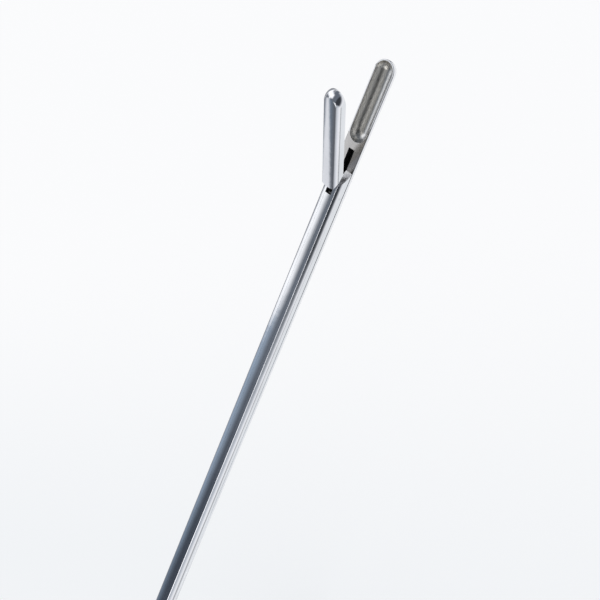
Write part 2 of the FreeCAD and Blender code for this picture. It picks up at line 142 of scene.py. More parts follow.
def block(name, low, high):
    deselect(action='DESELECT')
    middle = (Vector(low) + Vector(high)) / 2
    bpy.ops.mesh.primitive_cube_add(size=1, location=middle)
    obj = bpy.context.object
    obj.name = name
    obj.scale = Vector(high) - Vector(low)
    applyPlace(obj)
    return obj


def halfBall(name, radius, ballX, sides, rearX):
    # half a ball at ballX, open to the rear, its rim drawn back to rearX
    deselect(action='DESELECT')
    bpy.ops.mesh.primitive_uv_sphere_add(segments=sides, ring_count=sides // 2, radius=radius,
                                         location=(ballX, 0, 0), rotation=(0, math.radians(90), 0))
    obj = bpy.context.object
    obj.name = name
    applyPlace(obj)
    bisectAt(obj, (ballX, 0, 0), (-1, 0, 0), fill=False)
    startEdit(obj, 'EDGE')
    bpy.ops.mesh.select_all(action='DESELECT')
    bpy.ops.mesh.select_non_manifold()
    bpy.ops.mesh.extrude_region_move(TRANSFORM_OT_translate={"value": (rearX - ballX, 0, 0)})
    return obj


def roundTipBar(name, radius, rearX, tipX, sides=128):
    obj = halfBall(name, radius, tipX - radius, sides, rearX)
    bpy.ops.mesh.edge_face_add()
    bpy.ops.mesh.select_all(action='SELECT')
    bpy.ops.mesh.normals_make_consistent(inside=False)
    endEdit()
    return obj


def capsule(name, radius, rearX, tipX, sides=128):
    # bar with ball ends, used to hollow a cup
    middle = (rearX + tipX) / 2
    obj = halfBall(name, radius, tipX - radius, sides, middle)
    bpy.ops.mesh.select_all(action='SELECT')
    bpy.ops.mesh.duplicate()
    bpy.ops.transform.mirror(constraint_axis=(True, False, False), center_override=(middle, 0, 0))
    bpy.ops.mesh.select_all(action='SELECT')
    bpy.ops.mesh.remove_doubles(threshold=0.0005)
    bpy.ops.mesh.normals_make_consistent(inside=False)
    endEdit()
    return obj


def drawOutline(name, points, closed=True):
    # a chain of edges in the plane y = 0 through (x, z) points, drawn by extruding one corner
    deselect(action='DESELECT')
    bpy.ops.mesh.primitive_plane_add(size=1)
    obj = bpy.context.object
    obj.name = name
    startEdit(obj)
    bpy.ops.mesh.select_all(action='SELECT')
    bpy.ops.mesh.merge(type='CENTER')
    bpy.ops.transform.translate(value=(points[0][0], 0, points[0][1]))
    for before, after in zip(points, points[1:]):
        step = (after[0] - before[0], 0, after[1] - before[1])
        bpy.ops.mesh.extrude_region_move(TRANSFORM_OT_translate={"value": step})
    if closed:
        bpy.ops.mesh.select_all(action='SELECT')
        bpy.ops.mesh.edge_face_add()
    return obj


def plate(name, points, halfWidth):
    # closed outline of (x, z) points, as thick as twice halfWidth about y = 0
    obj = drawOutline(name, points)
    bpy.ops.transform.translate(value=(0, -halfWidth, 0))
    bpy.ops.mesh.extrude_region_move(TRANSFORM_OT_translate={"value": (0, 2 * halfWidth, 0)})
    bpy.ops.mesh.select_all(action='SELECT')
    bpy.ops.mesh.normals_make_consistent(inside=False)
    endEdit()
    return obj


def turnProfile(name, points, centre, axis, steps):
    # closed profile of (x, z) points, spun all round an axis
    obj = drawOutline(name, list(points) + [points[0]], closed=False)
    bpy.ops.mesh.select_all(action='SELECT')
    bpy.ops.mesh.remove_doubles(threshold=0.0005)
    bpy.ops.mesh.select_all(action='SELECT')
    bpy.ops.mesh.spin(steps=steps, angle=2 * math.pi, use_auto_merge=True, center=centre, axis=axis)
    bpy.ops.mesh.select_all(action='SELECT')
    bpy.ops.mesh.remove_doubles(threshold=0.0005)
    bpy.ops.mesh.normals_make_consistent(inside=False)
    endEdit()
    return obj


def softenEdges(obj, width, segments=2, angle=32, shareOf=None):
    # shareOf gives an edge's share of the width from its middle and direction
    takeOnly(obj)
    bpy.ops.object.shade_smooth()
    mesh = obj.data
    facesAt = {}
    for face in mesh.polygons:
        for key in face.edge_keys:
            facesAt.setdefault(key, []).append(face.normal)
    weights = mesh.attributes.new("bevel_weight_edge", 'FLOAT', 'EDGE')
    for edge in mesh.edges:
        normals = facesAt.get(tuple(sorted(edge.vertices)), [])
        if len(normals) == 2 and normals[0].angle(normals[1], 0.0) > math.radians(angle):
            ends = [mesh.vertices[i].co for i in edge.vertices]
            middle = (ends[0] + ends[1]) / 2
            weights.data[edge.index].value = shareOf(middle, ends[1] - ends[0]) if shareOf else 1.0
    applyModifier(obj, 'BEVEL', width=width, segments=segments, limit_method='WEIGHT',
                  use_clamp_overlap=False)
    takeOnly(obj)
    bpy.ops.object.shade_smooth_by_angle(angle=math.radians(angle))
    applyModifier(obj, 'WEIGHTED_NORMAL', keep_sharp=True, weight=60)


def placePiece(obj, body, nodes, material, shift=0, turn=None, finishes=(), finishOf=None):
    # shift along X and turn (x, z, degrees) about the Y axis are for what is drawn with the jaw closed
    # finishOf gives a face's place in finishes from its middle and normal, 0 is the main one
    marks = [finishOf(face.center, face.normal) if finishOf else 0 for face in obj.data.polygons]
    if shift:
        obj.data.transform(Matrix.Translation((shift, 0, 0)))
    if turn:
        spot = Matrix.Translation((turn[0], 0, turn[1]))
        obj.data.transform(spot @ Matrix.Rotation(math.radians(turn[2]), 4, 'Y') @ spot.inverted())
    obj.scale = (millimetre,) * 3
    obj.location = pivotPlace
    applyPlace(obj)
    obj.data.materials.clear()
    obj.data.materials.append(material)
    for extra in finishes:
        obj.data.materials.append(extra)
    for face, mark in zip(obj.data.polygons, marks):
        face.material_index = mark
    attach(obj, body)
    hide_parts(*nodes)
    print("piece", obj.name, "faces", len(obj.data.polygons))


# Finishes
finishSizes = {"grainDetail": 6.0, "cloudScale": 160.0, "cloudDetail": 3.0, "tintFrom": 0.30, "tintTo": 0.70,
               "leastRough": 0.75, "mostRough": 1.35, "grainHeight": 0.00002, "leftShadeFrom": -0.0007,
               "leftShadeTo": 0.0009}


def steelFinish(name, colour, roughness, grainScale, grainDepth, wear, waves=0.0, leftShadeColour=None):
    # grainScale stretches the grain along the axis with the small number, waves bend what is mirrored,
    # leftShadeColour takes over from colour towards the instrument's left side, as painted shade on that
    # side
    material = bpy.data.materials.new(name)
    material.use_nodes = True
    nodes, links = material.node_tree.nodes, material.node_tree.links
    shader = nodes["Principled BSDF"]
    shader.inputs["Metallic"].default_value = 1.0
    place = nodes.new("ShaderNodeTexCoord")
    stretch = nodes.new("ShaderNodeMapping")
    stretch.inputs["Scale"].default_value = grainScale
    links.new(place.outputs["Object"], stretch.inputs["Vector"])
    grain = nodes.new("ShaderNodeTexNoise")
    grain.inputs["Scale"].default_value = 1.0
    grain.inputs["Detail"].default_value = finishSizes["grainDetail"]
    links.new(stretch.outputs["Vector"], grain.inputs["Vector"])
    cloud = nodes.new("ShaderNodeTexNoise")     # broad polishing marks
    cloud.inputs["Scale"].default_value = finishSizes["cloudScale"]
    cloud.inputs["Detail"].default_value = finishSizes["cloudDetail"]
    links.new(place.outputs["Object"], cloud.inputs["Vector"])
    tint = nodes.new("ShaderNodeValToRGB")
    tint.color_ramp.elements[0].position = finishSizes["tintFrom"]
    tint.color_ramp.elements[0].color = [c * (1 - wear) for c in colour] + [1]
    tint.color_ramp.elements[1].position = finishSizes["tintTo"]
    tint.color_ramp.elements[1].color = list(colour) + [1]
    links.new(cloud.outputs["Fac"], tint.inputs["Fac"])
    if leftShadeColour:
        # painted shade: the base colour darkens towards the instrument's left side
        axes = nodes.new("ShaderNodeSeparateXYZ")
        links.new(place.outputs["Object"], axes.inputs["Vector"])
        across = nodes.new("ShaderNodeMapRange")
        across.interpolation_type = 'SMOOTHSTEP'
        across.inputs["From Min"].default_value = finishSizes["leftShadeFrom"]
        across.inputs["From Max"].default_value = finishSizes["leftShadeTo"]
        links.new(axes.outputs["Y"], across.inputs["Value"])
        sides = nodes.new("ShaderNodeMix")
        sides.data_type = 'RGBA'
        sides.inputs["B"].default_value = (*leftShadeColour, 1)
        links.new(across.outputs["Result"], sides.inputs["Factor"])
        links.new(tint.outputs["Color"], sides.inputs["A"])
        links.new(sides.outputs["Result"], shader.inputs["Base Color"])
    else:
        links.new(tint.outputs["Color"], shader.inputs["Base Color"])
    rough = nodes.new("ShaderNodeMapRange")
    rough.inputs["To Min"].default_value = roughness * finishSizes["leastRough"]
    rough.inputs["To Max"].default_value = roughness * finishSizes["mostRough"]
    links.new(grain.outputs["Fac"], rough.inputs["Value"])
    links.new(rough.outputs["Result"], shader.inputs["Roughness"])
    bump = nodes.new("ShaderNodeBump")
    bump.inputs["Strength"].default_value = grainDepth
    bump.inputs["Distance"].default_value = finishSizes["grainHeight"]
    links.new(grain.outputs["Fac"], bump.inputs["Height"])
    links.new(bump.outputs["Normal"], shader.inputs["Normal"])
    if waves:
        swell = nodes.new("ShaderNodeBump")
        swell.inputs["Strength"].default_value = 1.0
        swell.inputs["Distance"].default_value = waves
        links.new(cloud.outputs["Fac"], swell.inputs["Height"])
        links.new(swell.outputs["Normal"], bump.inputs["Normal"])
    return material


# the cup's inside is darker and browner towards its left wall: painted shade in its base colour
cupSteel = steelFinish("cupSteel", (0.95, 0.96, 0.98), 0.29, (900, 4000, 4000), 0.01, 0.05,
                       leftShadeColour=(0.57, 0.55, 0.50))
noseSteel = steelFinish("noseSteel", (0.95, 0.95, 0.96), 0.36, (4000, 1500, 4000), 0.05, 0.04)
landSteel = steelFinish("landSteel", (0.72, 0.70, 0.68), 0.20, (4000, 1500, 4000), 0.12, 0.25, 0.00004)
# near black finish for the walls of the slots and the lug in them: painted shade in the recesses, not the
# steel's own colour
slotShadeSteel = steelFinish("slotShadeSteel", (0.10, 0.10, 0.10), 0.45, (4000, 4000, 4000), 0.20, 0.30)
shaftSteel = steelFinish("shaftSteel", (0.84, 0.85, 0.87), 0.07, (150, 9000, 9000), 0.10, 0.08, 0.00003)
handleSteel = steelFinish("handleSteel", (0.62, 0.63, 0.64), 0.24, (3000, 3000, 600), 0.30, 0.08)
turnedSteel = steelFinish("turnedSteel", (0.58, 0.59, 0.60), 0.18, (4000, 4000, 4000), 0.25, 0.10)
pinSteel = steelFinish("pinSteel", (0.80, 0.81, 0.83), 0.10, (6000, 600, 6000), 0.20, 0.10)
bronze = steelFinish("bronze", (0.62, 0.43, 0.20), 0.25, (4000, 4000, 4000), 0.25, 0.15)

# Shared sizes of the shaft
shaft = {"radius": 2.0, "topHalfAngle": 40.0, "topCrown": 0.10, "seamGap": 0.03, "rear": -160.0,
         "edge": 0.035, "crease": 0.12, "seamEdge": 0.11, "innerShare": 0.3, "rimShare": 0.5,
         "holeZone": 1.2, "crownSides": 512, "cutterSide": 3.0, "holeSides": 48}
topEdgeY = shaft["radius"] * math.sin(math.radians(shaft["topHalfAngle"]))
topEdgeZ = shaft["radius"] * math.cos(math.radians(shaft["topHalfAngle"]))
pivotZ = -0.70


def crossBar(name, radius, x, z, reach=shaft["cutterSide"], sides=shaft["holeSides"]):
    # round bar from side to side: a boss, or the cutter for a hole
    return rod(name, radius, (x, -reach, z), (x, reach, z), sides=sides)


def flattenTop(obj, x0, x1):
    # the slider and the jaw have a top that is nearly flat: part of a much larger round
    crown = shaft["topCrown"]
    radius = (topEdgeY ** 2 + crown ** 2) / (2 * crown)
    keepInside(obj, rod("crown", radius, (x0 - 5, 0, topEdgeZ + crown - radius),
                        (x1 + 5, 0, topEdgeZ + crown - radius), sides=shaft["crownSides"]))


# Lower shaft with the fixed cup
lower = {"tip": 23.4, "cupWall": 0.24, "cupLength": 14.0, "slotRear": -0.82, "slotFront": 7.84,
         "slotHalf": 0.60, "slotFloor": -1.52, "pinRadius": 0.40, "rimRear": 10.2}
lowerShaft = roundTipBar("lowerShaftWithCup", shaft["radius"], shaft["rear"], lower["tip"])
bisectAt(lowerShaft, (0, 0, 0), (0, 0, 1))
cupTip = lower["tip"] - lower["cupWall"]
cutAway(lowerShaft,
        capsule("cup", shaft["radius"] - lower["cupWall"], cupTip - lower["cupLength"], cupTip),
        block("slot", (lower["slotRear"], -lower["slotHalf"], lower["slotFloor"]),
              (lower["slotFront"], lower["slotHalf"], 1)),
        crossBar("pinHole", lower["pinRadius"], 0, pivotZ))
startEdit(lowerShaft)     # the land behind the cup and the cup's rim are to be faces of their own
bpy.ops.mesh.select_all(action='SELECT')
bpy.ops.mesh.bisect(plane_co=(lower["rimRear"], 0, 0), plane_no=(1, 0, 0))
endEdit()


def lowerShare(middle, along):
    # the outer edges at the seam are broken most, the pin hole not at all
    if math.hypot(middle.x, middle.z - pivotZ) < shaft["holeZone"] * lower["pinRadius"]:
        return 0.0
    fromMiddle = math.hypot(max(middle.x - lower["tip"] + shaft["radius"], 0), middle.y)
    if fromMiddle > shaft["radius"] - 2 * near and abs(middle.z) < near:
        return 1.0 if middle.x < lower["slotFront"] else shaft["rimShare"]
    return shaft["innerShare"]


softenEdges(lowerShaft, shaft["seamEdge"], segments=1, shareOf=lowerShare)


def lowerFinish(middle, normal):
    fromAxis = math.hypot(middle.y, middle.z)
    inward = normal.y * middle.y + normal.z * middle.z < -near
    # the walls of the slot get the near black painted shade
    if middle.x < lower["slotFront"] + skin and abs(middle.y) < lower["slotHalf"] + near and inward:
        return 2
    if middle.x > lower["slotFront"] + 5 * skin and fromAxis < shaft["radius"] - skin and inward:
        return 1
    onLand = normal.z > 0.95 and middle.z > -skin and lower["slotRear"] < middle.x < lower["rimRear"]
    return 3 if onLand else 0


placePiece(lowerShaft, "frame", ["lower_shaft"], shaftSteel,
           finishes=(cupSteel, slotShadeSteel, landSteel), finishOf=lowerFinish)

# Slider with the sloping nose
sliderSizes = {"front": 5.05, "rear": -163.25, "noseLength": 2.8, "slotRear": -0.206, "slotTopRear": 0.41,
               "slotRoof": 1.242, "travel": 0.70, "pinRadius": 0.25, "pinX": 0.35, "pinZ": 0.70}
slider = rod("sliderBar", shaft["radius"], (sliderSizes["rear"], 0, 0), (sliderSizes["front"], 0, 0),
             sides=128)
flattenTop(slider, sliderSizes["rear"], sliderSizes["front"])
bisectAt(slider, (0, 0, shaft["seamGap"]), (0, 0, -1))
slope = Vector((topEdgeZ, 0, sliderSizes["noseLength"])).normalized()
bisectAt(slider, (sliderSizes["front"], 0, 0), slope)
cutAway(slider,
        block("lugPocket", (sliderSizes["slotRear"], -lower["slotHalf"], -1),
              (6, lower["slotHalf"], sliderSizes["slotRoof"])),
        block("tongueSlot", (sliderSizes["slotTopRear"], -lower["slotHalf"], 0),
              (6.1, lower["slotHalf"], 3)),
        crossBar("drivePinHole", sliderSizes["pinRadius"], sliderSizes["pinX"], sliderSizes["pinZ"]))


def sliderShare(middle, along):
    # the creases beside the flat top are broken most, the pin hole hardly at all
    fromPin = math.hypot(middle.x - sliderSizes["pinX"], middle.z - sliderSizes["pinZ"])
    if fromPin < shaft["holeZone"] * sliderSizes["pinRadius"]:
        return 0.0
    onCrease = abs(abs(middle.y) - topEdgeY) < near and abs(middle.z - topEdgeZ) < near
    atSeam = abs(middle.z - shaft["seamGap"]) < near and abs(middle.y) > shaft["radius"] - 2 * near
    return 1.0 if onCrease or atSeam else shaft["innerShare"]


softenEdges(slider, shaft["crease"], shareOf=sliderShare)


def sliderFinish(middle, normal):
    # the walls of the slot get the near black painted shade
    inSlot = middle.x > sliderSizes["slotRear"] - near and abs(middle.y) < lower["slotHalf"] + near
    onSlope = normal.x > 0.3 and normal.z > 0.7 and middle.x > 1
    return 2 if onSlope else 1 if inSlot and normal.z < 0.3 else 0


placePiece(slider, "push_rod", ["slider"], shaftSteel, shift=-sliderSizes["travel"],
           finishes=(slotShadeSteel, noseSteel), finishOf=sliderFinish)

# Moving jaw, drawn closed and turned open
jaw = {"tip": 20.9, "wall": 0.24, "cupRear": 8.16, "openAngle": 28.0, "slopeFoot": 5.30, "tongueHalf": 0.55,
       "eyeRadius": 0.70, "bore": 0.45, "webReach": 7.6, "lugRadius": 0.45, "slotX": 0.3443,
       "slotLow": 0.6584, "slotHigh": 0.7004, "slotRadius": 0.30, "relief": 0.15, "eyeFoot": -1.4,
       "belly": (2.2, -1.15), "webFrontZ": -0.05, "webTop": (0.4, 0.8), "root": (1.2, 0.9),
       "reliefBack": 2.2, "heel": (-0.56, 0.2), "paintedShadeTo": 1.5}
movingJaw = roundTipBar("movingJaw", shaft["radius"], 0.0, jaw["tip"])
flattenTop(movingJaw, 0.0, jaw["tip"])
bisectAt(movingJaw, (0, 0, shaft["seamGap"]), (0, 0, -1))
hollow = capsule("jawCup", shaft["radius"] - jaw["wall"], jaw["cupRear"], jaw["tip"] - jaw["wall"])
bisectAt(hollow, (0, 0, topEdgeZ - jaw["wall"]), (0, 0, 1))
cutAway(movingJaw, hollow)
bisectAt(movingJaw, (jaw["slopeFoot"], 0, 0), -slope)
lugFront, lugRear = jaw["slotX"] + jaw["lugRadius"], jaw["slotX"] - jaw["lugRadius"]
tongue = plate("tongue", [(0, jaw["eyeFoot"]), jaw["belly"], (jaw["webReach"], jaw["webFrontZ"]),
                          (jaw["webReach"] - jaw["webTop"][0], jaw["webTop"][1]),
                          (jaw["slopeFoot"] - jaw["root"][0], jaw["root"][1]),
                          (jaw["slopeFoot"] - jaw["reliefBack"], jaw["relief"]), (lugFront, jaw["relief"]),
                          (lugFront, jaw["slotHigh"]), (lugRear, jaw["slotHigh"]), (lugRear, 0),
                          (jaw["heel"][0], pivotZ + jaw["heel"][1])], jaw["tongueHalf"])
joinSolid(tongue, crossBar("eye", jaw["eyeRadius"], 0, pivotZ, jaw["tongueHalf"], 96),
          crossBar("lug", jaw["lugRadius"], jaw["slotX"], jaw["slotHigh"], jaw["tongueHalf"], 96))
cutAway(tongue, crossBar("eyeBore", jaw["bore"], 0, pivotZ, 2),
        crossBar("slotEndLow", jaw["slotRadius"], jaw["slotX"], jaw["slotLow"], 2),
        crossBar("slotEndHigh", jaw["slotRadius"], jaw["slotX"], jaw["slotHigh"], 2),
        block("slotMiddle", (jaw["slotX"] - jaw["slotRadius"], -2, jaw["slotLow"]),
              (jaw["slotX"] + jaw["slotRadius"], 2, jaw["slotHigh"])))
joinSolid(movingJaw, tongue)
softenEdges(movingJaw, shaft["edge"])


def jawFinish(middle, normal):
    fromAxis = math.hypot(middle.y, middle.z)
    inward = normal.y * middle.y + normal.z * middle.z < -near
    # the lug and the eye, down in the slots, get the near black painted shade
    if middle.x < jaw["paintedShadeTo"] and abs(middle.y) < jaw["tongueHalf"] + near:
        return 2
    return 1 if middle.x > jaw["cupRear"] - skin and fromAxis < shaft["radius"] - skin and inward else 0


placePiece(movingJaw, "jaw", ["moving_jaw"], shaftSteel, turn=(0, pivotZ, -jaw["openAngle"]),
           finishes=(cupSteel, slotShadeSteel), finishOf=jawFinish)

# Handles: forged in one piece each, so the raw form is fused, its surface redrawn evenly and smoothed,
# and the machined holes and slots are cut afterwards
handle = {"bore": 11.0, "bar": 4.4, "width": 5.0, "land": 2.6, "arc": 140.0, "shankHalfWidth": 2.3,
          "shankHalfDepth": 2.8, "rootGrowth": 1.25, "voxel": 0.26, "smoothing": 30, "edge": 0.14,
          "filletAngle": 34.0, "filletReach": 7.5, "filletHalf": 1.7, "filletSink": 0.8,
          "filletBend": (0.9, 3.3), "filletEnd": 2.5, "filletRoot": 1.2, "boreTrim": 0.02,
          "thumb": (-210.0, -58.0), "thumbBend": (16.0, 30.0),
          "finger": (-164.0, -66.0), "fingerBend": (3.5, 26.0), "halfAngle": 4.5576}
# channel and seat: rear, front, half width and floor; the bends are steps from a corner to mid-curve
body = {"front": -154.6, "rear": -179.6, "halfWidth": 4.0, "top": 5.2, "bottom": -8.6, "rim": 0.95,
        "pivotX": -166.6, "pivotZ": -3.8, "throatX": -161.2, "throatZ": -4.0, "heelX": -177.1,
        "throatBend": (2.2, 1.6), "heelBend": (0.6, 3.4), "shankRoot": (6.5, 4.5), "shaftBore": 2.05,
        "ferruleSeat": 2.9, "ferruleDepth": 2.0, "frontTrim": 0.03, "pivotHole": 1.5, "slotFoot": -17.2,
        "corner": 3.0, "cheek": 1.75, "slotReach": 4.6, "channel": (-170.95, -160.25, 2.58, -0.83),
        "seat": (-173.95, -157.25, 3.18, 4.0), "coverScrews": (-172.45, -158.75), "screwFloor": 2.0,
        "past": 9.0}       # cutters end this far out
cover = {"gap": 0.05, "hole": 0.8, "clearance": 0.02, "sink": 1.37, "sinkDepth": 0.6, "head": 1.33,
         "headDrop": 0.03, "length": 3.2, "slotHalf": 0.19, "slotReach": 2, "edge": 0.10, "screwEdge": 0.03}


def arcThrough(start, middle, end, steps):
    # points of the circle through three (x, z) points, from start to end
    (ax, az), (bx, bz), (cx, cz) = start, middle, end
    spread = 2 * (ax * (bz - cz) + bx * (cz - az) + cx * (az - bz))
    a, b, c = ax ** 2 + az ** 2, bx ** 2 + bz ** 2, cx ** 2 + cz ** 2
    ux = (a * (bz - cz) + b * (cz - az) + c * (az - bz)) / spread
    uz = (a * (cx - bx) + b * (ax - cx) + c * (bx - ax)) / spread
    radius = math.hypot(ax - ux, az - uz)
    first = math.atan2(az - uz, ax - ux)
    sweep = [(math.atan2(z - uz, x - ux) - first) % (2 * math.pi) for x, z in (middle, end)]
    turn = sweep[1] if sweep[0] < sweep[1] else sweep[1] - 2 * math.pi
    angles = [first + turn * i / steps for i in range(steps + 1)]
    return [(ux + radius * math.cos(angle), uz + radius * math.sin(angle)) for angle in angles]


def fingerRing(name, x, z):
    # flat land inside, rounded outside, turned about an axis along Y
    middle = handle["bore"] + handle["bar"] / 2
    points = [(x + handle["bore"], -handle["land"] / 2)]
    for step in range(25):
        angle = math.radians(handle["arc"] * (step / 12 - 1))
        points.append((x + middle + handle["bar"] / 2 * math.cos(angle),
                       handle["width"] / 2 * math.sin(angle)))
    points.append((x + handle["bore"], handle["land"] / 2))
    obj = turnProfile(name, points, (x, 0, 0), (0, 0, 1), 120)
    obj.rotation_euler = (math.radians(90), 0, 0)
    obj.location = (0, 0, z)
    applyPlace(obj)
    return obj


def taperedShank(name, start, bend, end, stations=28, sides=48):
    # an oval section drawn along a curve, one extrusion after another
    deselect(action='DESELECT')
    places = []
    for step in range(stations + 1):
        t = step / stations
        places.append([(1 - t) ** 2 * a + 2 * t * (1 - t) * b + t ** 2 * c
                       for a, b, c in zip(start, bend, end)]
                      + [math.atan2((1 - t) * (bend[0] - start[0]) + t * (end[0] - bend[0]),
                                    (1 - t) * (bend[1] - start[1]) + t * (end[1] - bend[1])),
                         1 + (handle["rootGrowth"] - 1) * (1 - t)])
    bpy.ops.mesh.primitive_circle_add(vertices=sides, radius=1, fill_type='NGON')
    obj = bpy.context.object
    obj.name = name
    obj.scale = (handle["shankHalfDepth"] * places[0][3], handle["shankHalfWidth"] * places[0][3], 1)
    applyPlace(obj)
    obj.rotation_euler = (0, places[0][2], 0)
    obj.location = (places[0][0], 0, places[0][1])
    applyPlace(obj)
    startEdit(obj, 'FACE')
    bpy.ops.mesh.select_all(action='SELECT')
    for before, after in zip(places, places[1:]):
        step = (after[0] - before[0], 0, after[1] - before[1])
        centre = (after[0], 0, after[1])
        bpy.ops.mesh.extrude_region_move(TRANSFORM_OT_translate={"value": step})
        bpy.ops.transform.rotate(value=before[2] - after[2], orient_axis='Y', center_override=centre)
        bpy.ops.transform.resize(value=(after[3] / before[3],) * 3, center_override=centre)
    bpy.ops.mesh.select_all(action='SELECT')
    bpy.ops.mesh.normals_make_consistent(inside=False)
    endEdit()
    return obj


def ringJoint(ring, start):
    # where a shank's centre line ends, inside the ring's bar
    reach = handle["bore"] + handle["bar"] / 2
    length = math.hypot(start[0] - ring[0], start[1] - ring[1])
    return ring[0] + (start[0] - ring[0]) / length * reach, ring[1] + (start[1] - ring[1]) / length * reach


def ringFillet(name, ring, start):
    # web with hollow sides that carries a shank's outline over into the ring's
    length = math.hypot(start[0] - ring[0], start[1] - ring[1])
    ux, uz = (start[0] - ring[0]) / length, (start[1] - ring[1]) / length
    outside = handle["bore"] + handle["bar"]
    spread = math.radians(handle["filletAngle"])
    onRing = outside - handle["filletSink"]
    corners = ((onRing * math.cos(spread), onRing * math.sin(spread)),
               (outside + handle["filletBend"][0], handle["filletBend"][1]),
               (outside + handle["filletReach"], handle["filletEnd"]))
    points = []
    for side in (1, -1):
        for step in range(13):
            t = step / 12 if side > 0 else 1 - step / 12
            out, across = [(1 - t) ** 2 * a + 2 * t * (1 - t) * b + t ** 2 * c for a, b, c in zip(*corners)]
            points.append((ring[0] + ux * out - uz * across * side, ring[1] + uz * out + ux * across * side))
    root = handle["bore"] + handle["filletRoot"]
    points.append((ring[0] + ux * root, ring[1] + uz * root))
    return plate(name, points, handle["filletHalf"])


def forgeSmooth(obj):
    applyModifier(obj, 'REMESH', mode='VOXEL', voxel_size=handle["voxel"], adaptivity=0.0)
    applyModifier(obj, 'SMOOTH', factor=0.5, iterations=handle["smoothing"])


def boreOut(name, x, z):
    return crossBar(name, handle["bore"] - handle["boreTrim"], x, z, 5, 160)


thumb = handle["thumb"]
thumbBend = (thumb[0] + handle["thumbBend"][0], thumb[1] + handle["thumbBend"][1])
throat = arcThrough((body["front"], body["throatZ"]),
                    (body["throatX"] + body["throatBend"][0], body["throatZ"] - body["throatBend"][1]),
                    (body["throatX"], body["bottom"]), 14)
heel = arcThrough((body["heelX"], body["bottom"]),
                  (body["rear"] + body["heelBend"][0], body["bottom"] + body["heelBend"][1]),
                  (body["rear"], 0), 14)
shoulder = body["corner"] * (1 - math.sqrt(0.5))
backCorner = arcThrough((body["rear"], body["top"] - body["corner"]),
                        (body["rear"] + shoulder, body["top"] - shoulder),
                        (body["rear"] + body["corner"], body["top"]), 12)
rearHandle = plate("rearHandleForged", throat + heel + backCorner + [(body["front"], body["top"])],
                   body["halfWidth"])
softenEdges(rearHandle, body["rim"], segments=4,
            shareOf=lambda middle, along: 1.0 if abs(along.y) < near else 0.0)
shankRoot = (body["rear"] + body["shankRoot"][0], body["bottom"] + body["shankRoot"][1])
joinSolid(rearHandle, taperedShank("thumbShank", shankRoot, thumbBend, ringJoint(thumb, thumbBend)),
          ringFillet("thumbFillet", thumb, thumbBend), fingerRing("thumbRing", *thumb))
forgeSmooth(rearHandle)
channel, seat, past = body["channel"], body["seat"], body["past"]
cutAway(rearHandle,
        block("frontFace", (body["front"] - body["frontTrim"], -past, -past),
              (body["front"] + 5, past, past)),
        boreOut("thumbBore", *thumb),
        rod("shaftBore", body["shaftBore"], (-161, 0, 0), (-150, 0, 0), sides=64),
        rod("ferruleSeat", body["ferruleSeat"], (body["front"] - body["ferruleDepth"], 0, 0), (-150, 0, 0)),
        block("channelHollow", (channel[0], -channel[2], channel[3]), (channel[1], channel[2], past)),
        block("leverSlot", (body["pivotX"] - body["slotReach"], -body["cheek"], body["slotFoot"]),
              (body["pivotX"] + body["slotReach"], body["cheek"], 0)),
        block("coverSeat", (seat[0], -seat[2], seat[3]), (seat[1], seat[2], past)),
        crossBar("pivotHole", body["pivotHole"], body["pivotX"], body["pivotZ"], past, 64),
        *[rod("screwHole", cover["hole"], (x, 0, body["screwFloor"]), (x, 0, past), sides=32)
          for x in body["coverScrews"]])
softenEdges(rearHandle, handle["edge"], angle=38)
placePiece(rearHandle, "frame", ["rear_handle"], handleSteel)

# Lever with the finger ring, drawn half-way and turned open
lever = {"eye": 3.0, "tip": 1.6, "tipZ": 0.6, "half": 1.4, "taper": 0.2, "waist": 0.9, "drop": 5.0,
         "bush": 2.1, "pin": 0.7}
leverX, leverZ = body["pivotX"], body["pivotZ"]     # the pivot that the lever turns about
halfTurn = math.radians(handle["halfAngle"])
reach = (handle["finger"][0] - leverX, handle["finger"][1] - leverZ)
finger = (leverX + reach[0] * math.cos(halfTurn) + reach[1] * math.sin(halfTurn),
          leverZ - reach[0] * math.sin(halfTurn) + reach[1] * math.cos(halfTurn))
fingerBend = (leverX + handle["fingerBend"][0], finger[1] + handle["bore"] + handle["fingerBend"][1])
foot = lever["eye"] - lever["taper"]
waist = lever["eye"] * lever["waist"]
frontHandle = crossBar("frontHandleForged", lever["eye"], leverX, leverZ, lever["half"], 96)
neck = plate("leverNeck", [(leverX - lever["tip"], lever["tipZ"]), (leverX + lever["tip"], lever["tipZ"]),
                           (leverX + waist, leverZ), (leverX + lever["eye"], body["bottom"]),
                           (leverX + foot, body["bottom"] - lever["drop"]),
                           (leverX - foot, body["bottom"] - lever["drop"]),
                           (leverX - lever["eye"], body["bottom"]), (leverX - waist, leverZ)], lever["half"])
joinSolid(frontHandle, crossBar("leverTip", lever["tip"], leverX, lever["tipZ"], lever["half"], 96), neck,
          taperedShank("fingerShank", (leverX, body["bottom"] - lever["drop"] / 3), fingerBend,
                       ringJoint(finger, fingerBend)),
          ringFillet("fingerFillet", finger, fingerBend), fingerRing("fingerRing", *finger))
forgeSmooth(frontHandle)
cutAway(frontHandle, boreOut("fingerBore", *finger),
        crossBar("bushHole", lever["bush"], leverX, leverZ, 5, 96),
        crossBar("leverPinHole", lever["pin"], leverX, lever["tipZ"], 5))
softenEdges(frontHandle, handle["edge"] / 2, angle=38)
placePiece(frontHandle, "lever", ["front_handle"], handleSteel,
           turn=(leverX, leverZ, -handle["halfAngle"]))

